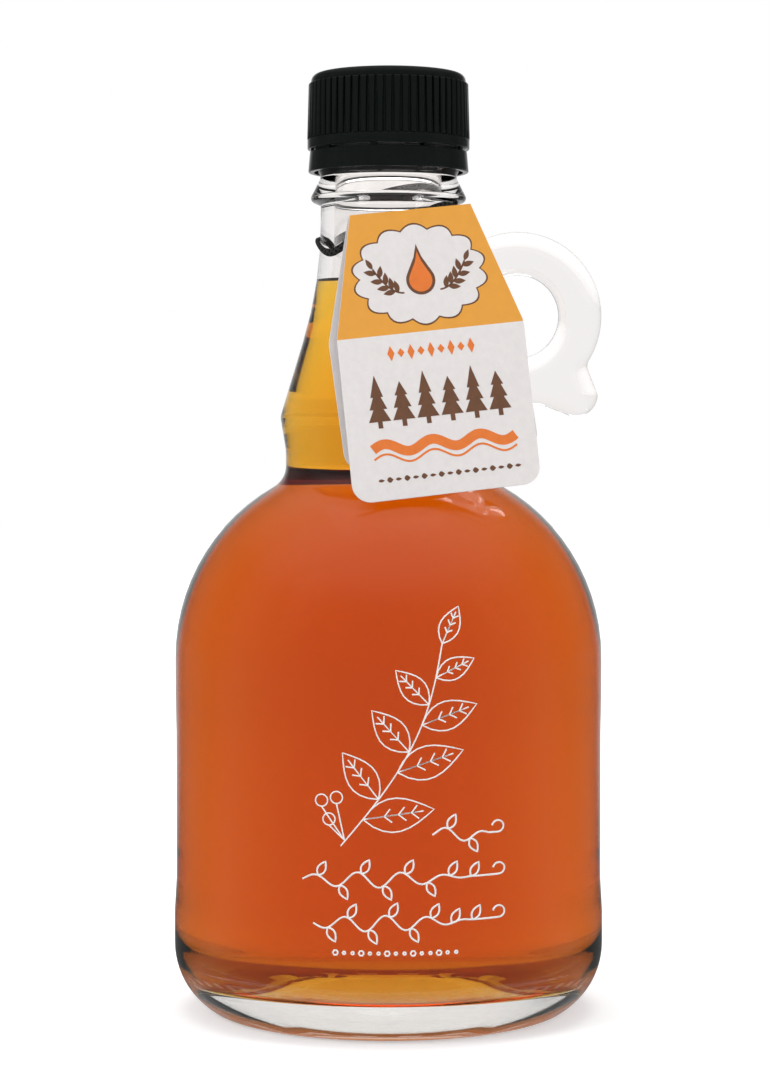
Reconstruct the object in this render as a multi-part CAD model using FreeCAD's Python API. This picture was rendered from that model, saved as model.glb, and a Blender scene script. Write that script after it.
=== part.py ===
import FreeCAD, Part
import math
import os

# Glass syrup jug with a ring handle on its neck, filled with syrup, closed by a screw cap with its tamper
# band, and carrying a folded card tag on an elastic loop.  Millimetres, +Z up, the origin on the jug's axis
# at the plane it stands on.  The handle points along +X, and the tag hangs on the -Y side.

os.makedirs("parts", exist_ok=True)

# ---- glass, outside ----
body_radius = 43.2          # widest bands, above the heel and below the shoulder
panel_recess = 0.4          # label panel set back from the bands
panel_blend = 7.0           # height over which the panel meets each band
lower_band_top = 20.0
upper_band = 8.0            # height of the band under the shoulder
upper_recess = 0.26         # that band, set back from the lower one
panel_edge = 20.0           # rounding where the panel turns into a band
shoulder_start = 71.0       # the wall is straight up to here
shoulder_round = 39.3
root_round = 5.0            # hollow where the shoulder meets the neck
waist_radius = 20.65        # neck just above the root
waist_height = 3.0
ring_radius = 21.75         # raised ring round the foot of the neck
ring_rise = 9.8             # its middle, above the top of the root
ring_round = 3.2
waist_round = 8.0
neck_radius = 13.6          # straight part of the neck, under the bead
taper_rise = 26.8           # ring to the corner where the taper would meet the straight neck
taper_round = 82.5
straight_rise = 15.5        # that corner to the underside of the bead
bead_radius = 15.9          # transfer bead under the cap
bead_height = 5.7
bead_lip = 1.0              # height of the bead's thick lower lip
bead_round = 0.9
bead_hollow = 13 / 18       # hollow above the bead, this share of the way from the bore out to the mouth
bead_hollow_round = 1.2
finish_step = 1.6           # slope from that hollow out to the mouth
finish_radius = 14.5        # mouth, inside the cap
finish_height = 18.9        # top of the bead to the rim
rim_round = 0.8
crease = 0.5                # rounding of small corners of the neck

# ---- glass, foot ----
heel_round = 15.2
foot_radius = 34.0          # outer edge of the ring it stands on
foot_round = 4.3
foot_width = 3.5
punt_height = 4.5           # hollow under the base
punt_flat = 14.0
punt_round = 30.0
foot_inner_round = 0.8
knurl_count = 48
knurl_gap = 1.6             # width of each notch between knurls
knurl_depth = 0.45

# ---- glass, inside ----
wall = 2.55
neck_wall = 3.1
bore_radius = 10.9
bore_rise = 41.0            # top of the root to where the taper inside would meet the bore
bore_round = 50.0
taper_inner_round = 20.0
floor_middle = 5.4          # glass thickness at the middle of the base
floor_edge = 7.2            # height of the floor beside the wall
floor_round = 8.5

# ---- ring handle ----
handle_thickness = 8.0      # across, along Y
handle_outer = 16.95
handle_hole = 8.3
handle_reach = 12.25        # ring centre, out from the straight neck
handle_rise = 29.9          # ring centre, above the top of the root
handle_edge = 3.5           # rounding of its edges
handle_root = 0.9           # how deep its plate starts in the neck, a share of the neck's radius
tail_round = 4.4            # thumb tail below the ring
tail_out = 11.85            # tail centre, out from the ring centre
tail_drop = 15.7
tail_start = 240.0          # where the arm's underside meets the tail, degrees round the tail from +X
notch_turn = -35.0          # where the tail's outer side meets the ring, degrees round the ring from +X
arm_drop = 17.6             # underside of the arm, below the ring centre
arm_reach = 4.6             # where that underside turns down, out from the ring centre
notch_round = 2.0
arm_round = 8.0

# ---- syrup ----
fill_rise = 36.6            # surface, above the top of the root
fill_clearance = 0.1        # between the syrup and the glass

# ---- screw cap ----
cap_clearance = 0.25        # between the mouth and the cap
cap_wall = 1.0
rib_count = 60
rib_height = 0.55
rib_root = 0.4              # how deep a rib starts in the wall
rib_share = 0.72            # rib's width, a share of the pitch
rib_top_round = 0.35
rib_band = 11.1             # height of the ribbed part
crown_height = 1.9          # smooth part above the ribs
crown_inset = 0.5           # crown inside the ribs' tips
crown_round = 1.5
cap_edge = 0.3              # rounding of the collar and the tamper band
crown_thickness = 1.6
skirt_draft = 0.3           # the ribs lean in by this much over their height
collar_height = 2.1
collar_lip = 0.5            # collar outside the ribs' feet
tamper_gap = 0.45
tamper_height = 4.1
tamper_flare = 0.35         # lower edge wider than the upper
tamper_thickness = 0.8
bridge_count = 9
bridge_width = 1.2
bridge_turn = 61.0          # where the first bridge stands, degrees from +X towards -Y

# ---- elastic loop ----
elastic_radius = 0.8
elastic_clearance = 0.24
elastic_tilt = 13.5
elastic_turn = 25.0         # its high side, degrees from +X towards +Y
elastic_below_bead = 4.15   # loop's centre, below the bead
knot_radius = 1.7
knot_thickness = 1.0
knot_clearance = 0.1        # between the knot and the front leaf

# ---- folded card tag ----
card = 0.35
fold_gap = 1.2              # between the leaves at the fold
leaf_opening = 1.9          # degrees between the leaves
fold_half = 12.1            # half width at the fold
shoulder_half = 18.65       # half width below the sloping shoulders, front leaf
back_half = 19.3            # the same, back leaf
shoulder_drop = 24.2
front_drop = 56.2           # length of the front leaf
back_drop = 49.4
shoulder_corner = 4.0
bottom_corner = 3.6
front_shift = 0.55          # the front leaf's shoulders stand this far to the right
front_foot_shift = -0.75    # and its lower corners this far to the left, as it is cut a little askew
hole_drop = 3.0             # middle of the hole in the back leaf
hole_radius = 2.3
tag_clearance = 0.25        # between the elastic and the back leaf
tag_roll = 6.4
tag_lean = 10.0
tag_turn = 11.0             # faces this far round from -Y towards +X
tag_slip = 0.8              # fold's middle, sideways along the loop from that direction
tag_over = 2.85             # fold's top, above the elastic it hangs from


def rounded(corners):
    """Edges in the XZ plane through (x, z, rounding) corners, each rounding an arc tangent to both sides."""
    points = [FreeCAD.Vector(x, 0, z) for x, z, _ in corners]
    edges = []
    start = points[0]
    for before, corner, after, (_, _, radius) in zip(points, points[1:], points[2:], corners[1:]):
        to_before = (before - corner).normalize()
        to_after = (after - corner).normalize()
        half = to_before.getAngle(to_after) / 2
        reach = radius / math.tan(half)
        entry = corner + to_before * reach
        leave = corner + to_after * reach
        if (entry - start).Length > 1e-4:
            edges.append(Part.LineSegment(start, entry).toShape())
        else:
            entry = start
        if radius:
            inward = (to_before + to_after).normalize()
            middle = corner + inward * (radius / math.sin(half) - radius)
            edges.append(Part.Arc(entry, middle, leave).toShape())
        start = leave
    edges.append(Part.LineSegment(start, points[-1]).toShape())
    return edges


def closed(corners):
    """A rounded outline that closes on itself; its first corner is left sharp."""
    return Part.Wire(rounded(corners + [corners[0]]))


def turned(corners):
    """Solid of revolution about Z from a closed outline of (radius, height, rounding) corners."""
    return Part.Face(closed(corners)).revolve(FreeCAD.Vector(), FreeCAD.Vector(0, 0, 1), 360)


def shoulder(wall_radius, neck_side, round_over, round_under):
    """Two corners whose roundings meet, the shoulder's and then the root's; and the root's top."""
    span = round_over + round_under
    turn = math.acos((neck_side + round_under - wall_radius + round_over) / span)
    slope = span * math.tan(turn / 2)
    first = shoulder_start + round_over * math.tan(turn / 2)
    second = first + slope * math.cos(turn)
    top = second + round_under * math.tan(turn / 2)
    return (wall_radius, first, round_over), (neck_side, second, round_under), top


def heel(wall_radius, flat_radius, flat_height, round_under, round_over):
    """Two corners from the flat foot up into the wall: a small arc, then the heel's large one."""
    span = round_over - round_under
    turn = math.acos((flat_radius - wall_radius + round_over) / span)
    low = flat_radius + round_under * math.tan((math.pi / 2 - turn) / 2)
    rise = round_under + span * math.sin(turn)
    high = flat_height + rise - round_over * math.tan(turn / 2)
    return (low, flat_height, round_under), (wall_radius, high, round_over)


upper_radius = body_radius - upper_recess
shoulder_out, root_out, root_top = shoulder(upper_radius, waist_radius, shoulder_round, root_round)
inner_radius = body_radius - wall
ring_z = root_top + ring_rise
taper_z = ring_z + taper_rise
bead_z = taper_z + straight_rise
bead_top = bead_z + bead_height
rim_z = bead_top + finish_height
handle_x = neck_radius + handle_reach
handle_z = root_top + handle_rise
fill_z = root_top + fill_rise


def glass_outside():
    """Everything inside the jug's outer skin, without the handle."""
    foot_corner, heel_corner = heel(body_radius, foot_radius, 0, foot_round, heel_round)
    panel_radius = body_radius - panel_recess
    panel_top = shoulder_start - upper_band
    return turned([
        (0, punt_height, 0),
        (punt_flat, punt_height, punt_round),
        (foot_radius - foot_width, 0, foot_inner_round),
        foot_corner,
        heel_corner,
        (body_radius, lower_band_top, panel_edge),
        (panel_radius, lower_band_top + panel_blend, panel_edge),
        (panel_radius, panel_top - panel_blend, panel_edge),
        (upper_radius, panel_top, panel_edge),
        shoulder_out,
        root_out,
        (waist_radius, root_top + waist_height, waist_round),
        (ring_radius, ring_z, ring_round),
        (neck_radius, taper_z, taper_round),
        (neck_radius, bead_z, crease),
        (bead_radius, bead_z + bead_lip, bead_round),
        (bore_radius + (finish_radius - bore_radius) * bead_hollow, bead_top, bead_hollow_round),
        (finish_radius, bead_top + finish_step, crease),
        (finish_radius, rim_z, rim_round),
        (0, rim_z, 0),
    ])


def cavity(clearance, top):
    """The room inside the glass up to a height, drawn in by a clearance."""
    over = shoulder_round - wall
    under = root_round + neck_wall
    waist_inside = waist_radius - neck_wall
    shoulder_in, root_in, root_inside_top = shoulder(inner_radius, waist_inside, over, under)
    corners = [
        (0, punt_height + floor_middle, 0),
        (punt_flat, punt_height + floor_middle, punt_round),
        (inner_radius, floor_edge, floor_round),
        shoulder_in,
        root_in,
        (waist_inside, root_top + ring_rise, taper_inner_round),
        (bore_radius, root_top + bore_rise, bore_round),
        (bore_radius, 2 * rim_z, 0),
        (0, 2 * rim_z, 0),
    ]
    room = turned(corners)
    if clearance:
        room = room.makeOffsetShape(-clearance, 1e-4)
    lid = Part.makeBox(2 * body_radius, 2 * body_radius, 2 * rim_z,
                       FreeCAD.Vector(-body_radius, -body_radius, top))
    return room.cut(lid)


def disc(x, z, radius):
    """Round plate as thick as the handle, in the XZ plane."""
    start = FreeCAD.Vector(x, -handle_thickness / 2, z)
    return Part.makeCylinder(radius, handle_thickness, start, FreeCAD.Vector(0, 1, 0))


def across(edge):
    """Whether an edge of the handle's plate runs straight through its thickness."""
    box = edge.BoundBox
    return box.YLength > handle_thickness * 0.9 and box.XLength < 0.01 and box.ZLength < 0.01


def handle():
    """Ring with a thumb tail and the arm under it, its inner side buried in the neck."""
    tail_x = handle_x + tail_out
    tail_z = handle_z - tail_drop
    arm_z = handle_z - arm_drop
    arm_end = handle_x + arm_reach
    touch = math.radians(tail_start)
    notch_x = handle_x + handle_outer * math.cos(math.radians(notch_turn))
    notch_z = handle_z + handle_outer * math.sin(math.radians(notch_turn))
    outline = [
        (neck_radius * handle_root, arm_z),
        (arm_end, arm_z),
        (tail_x + tail_round * math.cos(touch), tail_z + tail_round * math.sin(touch)),
        (tail_x + tail_round, tail_z),
        (notch_x, notch_z),
        (handle_x, handle_z),
        (neck_radius * handle_root, handle_z),
    ]
    points = [FreeCAD.Vector(x, -handle_thickness / 2, z) for x, z in outline]
    arm = Part.Face(Part.makePolygon(points + [points[0]])).extrude(FreeCAD.Vector(0, handle_thickness, 0))
    tail = disc(tail_x, tail_z, tail_round)
    plate = disc(handle_x, handle_z, handle_outer).fuse([arm, tail]).removeSplitter()
    for x, z, rounding in ((arm_end, arm_z, arm_round), (notch_x, notch_z, notch_round)):
        corner = FreeCAD.Vector(x, 0, z)
        near = [edge for edge in plate.Edges if (edge.BoundBox.Center - corner).Length < 0.1]
        plate = plate.makeFillet(rounding, [edge for edge in near if across(edge)])
    plate = plate.cut(disc(handle_x, handle_z, handle_hole))
    rims = [edge for edge in plate.Edges if edge.BoundBox.YLength < 0.01]
    return plate.makeFillet(handle_edge, rims)


def glass():
    """Jug and handle as one piece of glass, hollow, with notches between the knurls of its foot."""
    jug = glass_outside().fuse(handle()).cut(cavity(0, rim_z + 1.0))
    notch_start = FreeCAD.Vector(foot_radius - 1.5 * foot_width, -knurl_gap / 2, -knurl_depth)
    notch = Part.makeBox(2 * foot_width, knurl_gap, 2 * knurl_depth, notch_start)
    notches = []
    for count in range(knurl_count):
        one = notch.copy()
        one.rotate(FreeCAD.Vector(), FreeCAD.Vector(0, 0, 1), 360 * count / knurl_count)
        notches.append(one)
    return jug.cut(notches)


def spot(radius, angle, height):
    """A point given by its distance from the axis, its direction and its height."""
    return FreeCAD.Vector(radius * math.cos(angle), radius * math.sin(angle), height)


def cap():
    """Ribbed cap with a smooth crown and a plain collar; the tamper band hangs from it on small bridges."""
    foot = finish_radius + cap_clearance + cap_wall
    top_z = rim_z + crown_thickness
    rib_top = top_z - crown_height
    rib_foot = rib_top - rib_band
    collar_foot = rib_foot - collar_height
    band_top = collar_foot - tamper_gap
    band_foot = band_top - tamper_height
    bore = finish_radius + cap_clearance
    tip = foot + rib_height
    crown = tip - skirt_draft - crown_inset
    shell = turned([
        (0, rim_z, 0),
        (bore, rim_z, 0),
        (bore, collar_foot, 0),
        (foot + collar_lip, collar_foot, cap_edge),
        (foot + collar_lip, rib_foot, cap_edge),
        (foot, rib_foot, 0),
        (foot - skirt_draft, rib_top, 0),
        (crown, rib_top, 0),
        (crown, top_z, crown_round),
        (0, top_z, 0),
    ])
    pitch = 2 * math.pi / rib_count
    rim = []
    root = foot - rib_root
    edge_turn = pitch * rib_share / 2
    for count in range(rib_count):
        middle = count * pitch
        left = spot(root, middle - edge_turn, rib_foot)
        peak = spot(tip, middle, rib_foot)
        right = spot(root, middle + edge_turn, rib_foot)
        following = spot(root, middle + pitch - edge_turn, rib_foot)
        rim.append(Part.Arc(left, peak, right).toShape())
        rim.append(Part.LineSegment(right, following).toShape())
    ribs = Part.Face(Part.Wire(rim)).extrude(FreeCAD.Vector(0, 0, rib_band))
    sleeve = turned([
        (foot - cap_wall, rib_foot, 0),
        (tip, rib_foot, 0),
        (tip - skirt_draft, rib_top, rib_top_round),
        (foot - cap_wall, rib_top, 0),
    ])
    band_inner = foot - tamper_thickness
    band = turned([
        (band_inner, band_foot, 0),
        (foot + tamper_flare, band_foot, cap_edge),
        (foot, band_top, cap_edge / 2),
        (band_inner, band_top, 0),
    ])
    bridge_thickness = tamper_thickness * 0.75
    bridge_start = FreeCAD.Vector(band_inner, -bridge_width / 2, band_top - tamper_gap)
    bridge = Part.makeBox(bridge_thickness, bridge_width, 3 * tamper_gap, bridge_start)
    bridges = []
    for count in range(bridge_count):
        one = bridge.copy()
        one.rotate(FreeCAD.Vector(), FreeCAD.Vector(0, 0, 1), 360 * count / bridge_count - bridge_turn)
        bridges.append(one)
    return shell.fuse([ribs.common(sleeve), band] + bridges)


def ring_place():
    """Where the elastic loop lies: centred on the neck, tilted until its high side is just under the bead."""
    turn = FreeCAD.Rotation(FreeCAD.Vector(0, 0, 1), elastic_turn)
    tilt = FreeCAD.Rotation(FreeCAD.Vector(0, 1, 0), -elastic_tilt)
    return FreeCAD.Placement(FreeCAD.Vector(0, 0, bead_z - elastic_below_bead), turn.multiply(tilt))


def loop_radius():
    """Radius of the loop's middle line, so that its tilted tube just clears the neck at both sides."""
    tilt = math.cos(math.radians(elastic_tilt))
    return (neck_radius + elastic_clearance + elastic_radius / tilt) / tilt


def loop_front():
    """The point of the loop that the tag hangs in front of."""
    angle = math.radians(tag_turn - 90 - elastic_turn)
    return ring_place().multVec(spot(loop_radius(), angle, 0))


def tag_place():
    """The tag's own frame in the jug's: x along its fold, y into its back, z up the card."""
    turn = FreeCAD.Rotation(FreeCAD.Vector(0, 0, 1), tag_turn)
    lean = FreeCAD.Rotation(FreeCAD.Vector(1, 0, 0), -tag_lean)
    roll = FreeCAD.Rotation(FreeCAD.Vector(0, 1, 0), -tag_roll)
    depth = loop_radius() + elastic_radius + tag_clearance + 2 * card + fold_gap
    out = turn.multVec(FreeCAD.Vector(tag_slip, -depth, 0))
    height = loop_front().z + tag_over
    return FreeCAD.Placement(FreeCAD.Vector(out.x, out.y, height), turn.multiply(lean).multiply(roll))


def leaf(half, drop, shift, foot_shift):
    """One leaf of the card, hanging from the origin, its front face at y = 0."""
    corners = [
        (-fold_half, 0, 0),
        (fold_half, 0, 0),
        (shift + half, -shoulder_drop, shoulder_corner),
        (foot_shift + half, -drop, bottom_corner),
        (foot_shift - half, -drop, bottom_corner),
        (shift - half, -shoulder_drop, shoulder_corner),
    ]
    return Part.Face(closed(corners)).extrude(FreeCAD.Vector(0, card, 0))


def tag():
    """Card folded over at its top edge: a front leaf, a shorter back leaf with a hole, and the fold."""
    front = leaf(shoulder_half, front_drop, front_shift, front_foot_shift)
    back = leaf(back_half, back_drop, 0, 0)
    back_face = FreeCAD.Vector(0, -card, -hole_drop)
    hole = Part.makeCylinder(hole_radius, 3 * card, back_face, FreeCAD.Vector(0, 1, 0))
    back = back.cut(hole)
    back.translate(FreeCAD.Vector(0, card + fold_gap, 0))
    back.rotate(FreeCAD.Vector(0, card + fold_gap, 0), FreeCAD.Vector(1, 0, 0), leaf_opening)
    outer = fold_gap / 2 + card
    spine = FreeCAD.Vector(-fold_half, outer, 0)
    fold = Part.makeCylinder(outer, 2 * fold_half, spine, FreeCAD.Vector(1, 0, 0))
    fold = fold.cut(Part.makeCylinder(fold_gap / 2, 2 * fold_half, spine, FreeCAD.Vector(1, 0, 0)))
    below_start = FreeCAD.Vector(-2 * fold_half, -outer, -4 * outer)
    below = Part.makeBox(4 * fold_half, 4 * outer, 4 * outer, below_start)
    fold = fold.cut(below)
    card_shape = front.fuse([back, fold])
    card_shape.Placement = tag_place().multiply(card_shape.Placement)
    return card_shape


def elastic():
    """Round elastic loop about the neck, its knotted end held between the tag's leaves."""
    loop = Part.makeTorus(loop_radius(), elastic_radius)
    loop.Placement = ring_place()
    place = tag_place()
    knot_start = place.multVec(FreeCAD.Vector(0, card + knot_clearance, -hole_drop))
    inward = place.Rotation.multVec(FreeCAD.Vector(0, 1, 0))
    knot = Part.makeCylinder(knot_radius, knot_thickness, knot_start, inward)
    stem_start = knot_start + inward * (knot_thickness / 2)
    along = loop_front() - stem_start
    stem = Part.makeCylinder(elastic_radius, along.Length, stem_start, along)
    return loop.fuse([stem, knot])


def syrup():
    """Syrup up to its level, just clear of the glass."""
    return cavity(fill_clearance, fill_z)


pieces = {
    "jug_glass": glass,
    "syrup": syrup,
    "screw_cap": cap,
    "neck_tag": tag,
    "tag_elastic": elastic,
}
for name, make in pieces.items():
    shape = make()
    print(name, "valid", shape.isValid(), "solids", len(shape.Solids), "cm3", round(shape.Volume / 1000, 3))
    shape.exportStep("parts/" + name + ".step")
print("levels", [round(z, 2) for z in (root_top, ring_z, taper_z, bead_z, bead_top, rim_z, fill_z)])
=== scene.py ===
# %% [markdown]
# # A glass syrup jug
# A round clear jug with a little ring handle on its neck, full of dark amber syrup, under a black screw
# cap, with a folded card tag on an elastic. The lesson builds it one piece at a time: first the frame
# that the CAD model gives, then the camera and the light, then glass, syrup, cap, elastic, tag and the
# white drawing fired on the glass.

# %% Load the frame
import math
import bpy
from mathutils import Matrix, Vector


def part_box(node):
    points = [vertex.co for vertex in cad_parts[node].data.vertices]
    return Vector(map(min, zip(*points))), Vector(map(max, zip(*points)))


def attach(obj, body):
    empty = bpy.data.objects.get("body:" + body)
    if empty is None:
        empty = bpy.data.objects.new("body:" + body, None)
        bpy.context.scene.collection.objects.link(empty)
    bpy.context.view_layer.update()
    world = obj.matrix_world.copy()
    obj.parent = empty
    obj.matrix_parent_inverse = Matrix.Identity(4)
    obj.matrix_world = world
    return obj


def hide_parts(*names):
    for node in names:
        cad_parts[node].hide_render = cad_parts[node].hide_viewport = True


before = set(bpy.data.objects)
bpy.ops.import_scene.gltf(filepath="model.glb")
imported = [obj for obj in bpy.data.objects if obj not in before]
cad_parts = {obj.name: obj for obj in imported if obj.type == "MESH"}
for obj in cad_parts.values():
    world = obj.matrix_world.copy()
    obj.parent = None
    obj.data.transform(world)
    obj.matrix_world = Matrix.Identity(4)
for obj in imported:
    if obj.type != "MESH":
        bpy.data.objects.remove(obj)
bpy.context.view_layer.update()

bpy.context.scene.view_settings.view_transform = "Standard"
MM = 0.001

# %% [markdown]
# ## Helpers for working by hand
# An operator acts on everything that is selected, so each step starts from an empty selection. These few
# helpers do what a hand would do: pick one object, go in and out of edit mode, pick faces by where they
# lie, apply a modifier.

# %% Selection helpers
def pick(piece):
    """Select one object alone and make it active."""
    if bpy.context.object and bpy.context.object.mode != "OBJECT":
        bpy.ops.object.mode_set(mode="OBJECT")
    bpy.ops.object.select_all(action="DESELECT")
    piece.select_set(True)
    bpy.context.view_layer.objects.active = piece


def edit(piece, choose=None, kind="FACE"):
    """Enter edit mode with everything selected, or only what choose(...) accepts."""
    pick(piece)
    bpy.ops.object.mode_set(mode="EDIT")
    bpy.ops.mesh.select_mode(type=kind)
    bpy.ops.mesh.select_all(action="SELECT" if choose is None else "DESELECT")
    if choose is not None:
        bpy.ops.object.mode_set(mode="OBJECT")
        mesh = piece.data
        for item in {"FACE": mesh.polygons, "EDGE": mesh.edges, "VERT": mesh.vertices}[kind]:
            item.select = bool(choose(item))
        bpy.ops.object.mode_set(mode="EDIT")


def done(piece):
    """Leave edit mode."""
    bpy.ops.object.mode_set(mode="OBJECT")
    return piece


def place(piece, matrix):
    """Move a piece by a matrix and put the move into its mesh."""
    pick(piece)
    piece.matrix_world = matrix @ piece.matrix_world
    bpy.ops.object.transform_apply(location=True, rotation=True, scale=True)
    return piece


def modify(piece, kind, **settings):
    """Add a modifier, set it and apply it."""
    pick(piece)
    modifier = piece.modifiers.new(kind.title(), kind)
    for key, value in settings.items():
        setattr(modifier, key, value)
    bpy.ops.object.modifier_apply(modifier=modifier.name)
    return piece


def smooth(piece, angle=30):
    """Shade round faces smooth and keep the edges that are sharper than an angle."""
    pick(piece)
    bpy.ops.object.shade_smooth_by_angle(angle=math.radians(angle))
    return piece


def join(pieces, name):
    """Join several objects into the first."""
    pick(pieces[0])
    for piece in pieces:
        piece.select_set(True)
    bpy.ops.object.join()
    pieces[0].name = name
    pieces[0].data.name = name
    return pieces[0]


def hand_in(piece, material, slot, *nodes):
    """Give a finished piece its material, and let it stand for its CAD nodes; the slot is not used."""
    if material:
        piece.data.materials.clear()
        piece.data.materials.append(material)
    if nodes:
        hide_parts(*nodes)
    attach(piece, "root")
    print(piece.name, len(piece.data.polygons), "faces")
    return piece


# %% [markdown]
# ## Outlines with rounded corners
# Blown glass has no sharp corner, so every profile here is a list of corners, each with the radius that
# rounds it. `rounded` turns each corner into an arc that is tangent to both sides. An outline could also
# be drawn as a curve object, but a plain chain of vertices can be spun or filled straight away.

# %% Outline helpers
def rounded(corners, step=8):
    """Points through (across, up, rounding) corners in mm; each arc gets a point every few degrees."""
    spots = [Vector((x, z)) for x, z, _ in corners]
    points = [spots[0]]
    for before, corner, after, (_, _, radius) in zip(spots, spots[1:], spots[2:], corners[1:]):
        if not radius:
            points.append(corner)
            continue
        back = (before - corner).normalized()
        ahead = (after - corner).normalized()
        half = back.angle(ahead) / 2
        centre = corner + (back + ahead).normalized() * (radius / math.sin(half))
        reach = radius / math.tan(half)
        start = corner + back * reach - centre
        sweep = start.angle_signed(corner + ahead * reach - centre)
        count = max(2, math.ceil(abs(math.degrees(sweep)) / step))
        for number in range(count + 1):
            turn = -sweep * number / count
            cosine, sine = math.cos(turn), math.sin(turn)
            turned = Vector((start.x * cosine - start.y * sine, start.x * sine + start.y * cosine))
            points.append(centre + turned)
    points.append(spots[-1])
    return points


def arc(across, up, radius, start, end, step=6):
    """Points round a circle from one angle to another, in degrees."""
    count = max(2, math.ceil(abs(end - start) / step))
    turns = [math.radians(start + (end - start) * number / count) for number in range(count + 1)]
    return [Vector((across + radius * math.cos(turn), up + radius * math.sin(turn))) for turn in turns]


def chain(points, name, fill=False, closed=False):
    """A chain of edges in the XZ plane, drawn by pulling one vertex from point to point (points in mm)."""
    bpy.ops.object.select_all(action="DESELECT")
    bpy.ops.mesh.primitive_plane_add(size=MM)
    piece = bpy.context.object
    piece.name = name
    edit(piece, kind="VERT")
    bpy.ops.mesh.merge(type="CENTER")
    bpy.ops.transform.translate(value=(points[0].x * MM, 0, points[0].y * MM))
    for here, there in zip(points, points[1:]):
        step = ((there.x - here.x) * MM, 0, (there.y - here.y) * MM)
        bpy.ops.mesh.extrude_region_move(TRANSFORM_OT_translate={"value": step})
    if closed:
        step = ((points[0].x - points[-1].x) * MM, 0, (points[0].y - points[-1].y) * MM)
        bpy.ops.mesh.extrude_region_move(TRANSFORM_OT_translate={"value": step})
        bpy.ops.mesh.select_all(action="SELECT")
        bpy.ops.mesh.remove_doubles(threshold=0.001 * MM)
    if fill:
        bpy.ops.mesh.select_all(action="SELECT")
        bpy.ops.mesh.edge_face_add()
    return done(piece)


def slab(points, name, thickness, start=0.0):
    """A filled outline with a thickness along Y, from a start towards the back."""
    piece = chain(points, name, fill=True)
    edit(piece)
    bpy.ops.transform.translate(value=(0, start * MM, 0))
    bpy.ops.mesh.extrude_region_move(TRANSFORM_OT_translate={"value": (0, thickness * MM, 0)})
    bpy.ops.mesh.select_all(action="SELECT")
    bpy.ops.mesh.normals_make_consistent(inside=False)
    return done(piece)


def spun(points, name, steps):
    """Spin a chain once round Z into a closed round shell."""
    piece = chain(points, name)
    edit(piece, kind="VERT")
    bpy.ops.mesh.spin(steps=steps, angle=math.tau, center=(0, 0, 0), axis=(0, 0, 1))
    bpy.ops.mesh.select_all(action="SELECT")
    bpy.ops.mesh.remove_doubles(threshold=0.002 * MM)
    bpy.ops.mesh.normals_make_consistent(inside=False)
    return done(piece)


# %% [markdown]
# ## The sizes of the jug
# The CAD model fixes the outside. Its heights are read from the frame, and the rest are the same named
# sizes that the CAD model uses, in millimetres.

# %% Sizes of the glass
rim_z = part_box("jug_glass")[1].z / MM
fill_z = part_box("syrup")[1].z / MM
body_radius = 43.2
panel_radius = body_radius - 0.4
upper_radius = body_radius - 0.26
shoulder_start = 71.0
shoulder_round = 39.3
root_round = 5.0
waist_radius = 20.65
neck_radius = 13.6
wall = 2.55
neck_wall = 3.1
bore_radius = 10.9
bore_round = 50.0
mouth_radius = 12.6
punt_height = 4.5
punt_flat = 14.0
punt_round = 30.0
floor_middle = punt_height + 5.4
floor_edge = 7.2
floor_round = 8.5
foot_inside = 30.5
foot_outside = 35.29


def shoulder(wall_radius, neck_side, over, under):
    """The shoulder's corner and the neck root's corner, with roundings that meet, and the root's top."""
    turn = math.acos((neck_side + under - wall_radius + over) / (over + under))
    first = shoulder_start + over * math.tan(turn / 2)
    second = first + (over + under) * math.tan(turn / 2) * math.cos(turn)
    return (wall_radius, first, over), (neck_side, second, under), second + under * math.tan(turn / 2)


shoulder_out, root_out, root_top = shoulder(upper_radius, waist_radius, shoulder_round, root_round)
ring_z = root_top + 9.8
taper_z = ring_z + 26.8
bore_z = root_top + 41.0
bead_z = taper_z + 15.5
bead_top = bead_z + 5.7
for label, level in (("root top", root_top), ("ring", ring_z), ("bead", bead_z), ("fill", fill_z)):
    print(label, round(level, 2))

# %% [markdown]
# ## Camera
# The jug is seen from the front, almost level, with a long lens, as for a plain catalogue. A long lens
# far away keeps the sides of the body nearly parallel. Depth of field stays off, so that every part is
# sharp.

# %% Camera
camera_distance = 564.5
camera_height = 115.2
camera_pitch = 0.039
camera_data = bpy.data.cameras.new("camera")
camera_data.lens = 92.3
camera_data.sensor_width = 36.0
camera_data.clip_start = 0.01
camera = bpy.data.objects.new("camera", camera_data)
camera.location = (-0.7 * MM, -camera_distance * MM, camera_height * MM)
camera.rotation_euler = (math.pi / 2 - camera_pitch, 0, 0)
bpy.context.scene.collection.objects.link(camera)
bpy.context.scene.camera = camera

# %% [markdown]
# ## Node helpers
# A material is a small network. These helpers add a node, step softly from one level to another, and
# blend two numbers, so that each material below reads as a short list.

# %% Node helpers
def node(tree, kind, **settings):
    """Add a shader node and set the properties or inputs given by name."""
    made = tree.nodes.new(kind)
    for key, value in settings.items():
        if hasattr(made, key):
            setattr(made, key, value)
        else:
            made.inputs[key.replace("_", " ")].default_value = value
    return made


def ramp(tree, value, span, levels):
    """A soft step from one level to another while a value crosses a span."""
    made = node(tree, "ShaderNodeMapRange", interpolation_type="SMOOTHSTEP")
    made.inputs["From Min"].default_value, made.inputs["From Max"].default_value = span
    made.inputs["To Min"].default_value, made.inputs["To Max"].default_value = levels
    tree.links.new(value, made.inputs["Value"])
    return made.outputs["Result"]


def blend(tree, share, first, second):
    """The first number where the share is 0, and the second where it is 1."""
    made = node(tree, "ShaderNodeMix", data_type="FLOAT")
    tree.links.new(share, made.inputs[0])
    for spot, number in ((2, first), (3, second)):
        if isinstance(number, float):
            made.inputs[spot].default_value = number
        else:
            tree.links.new(number, made.inputs[spot])
    return made.outputs[0]


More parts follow.
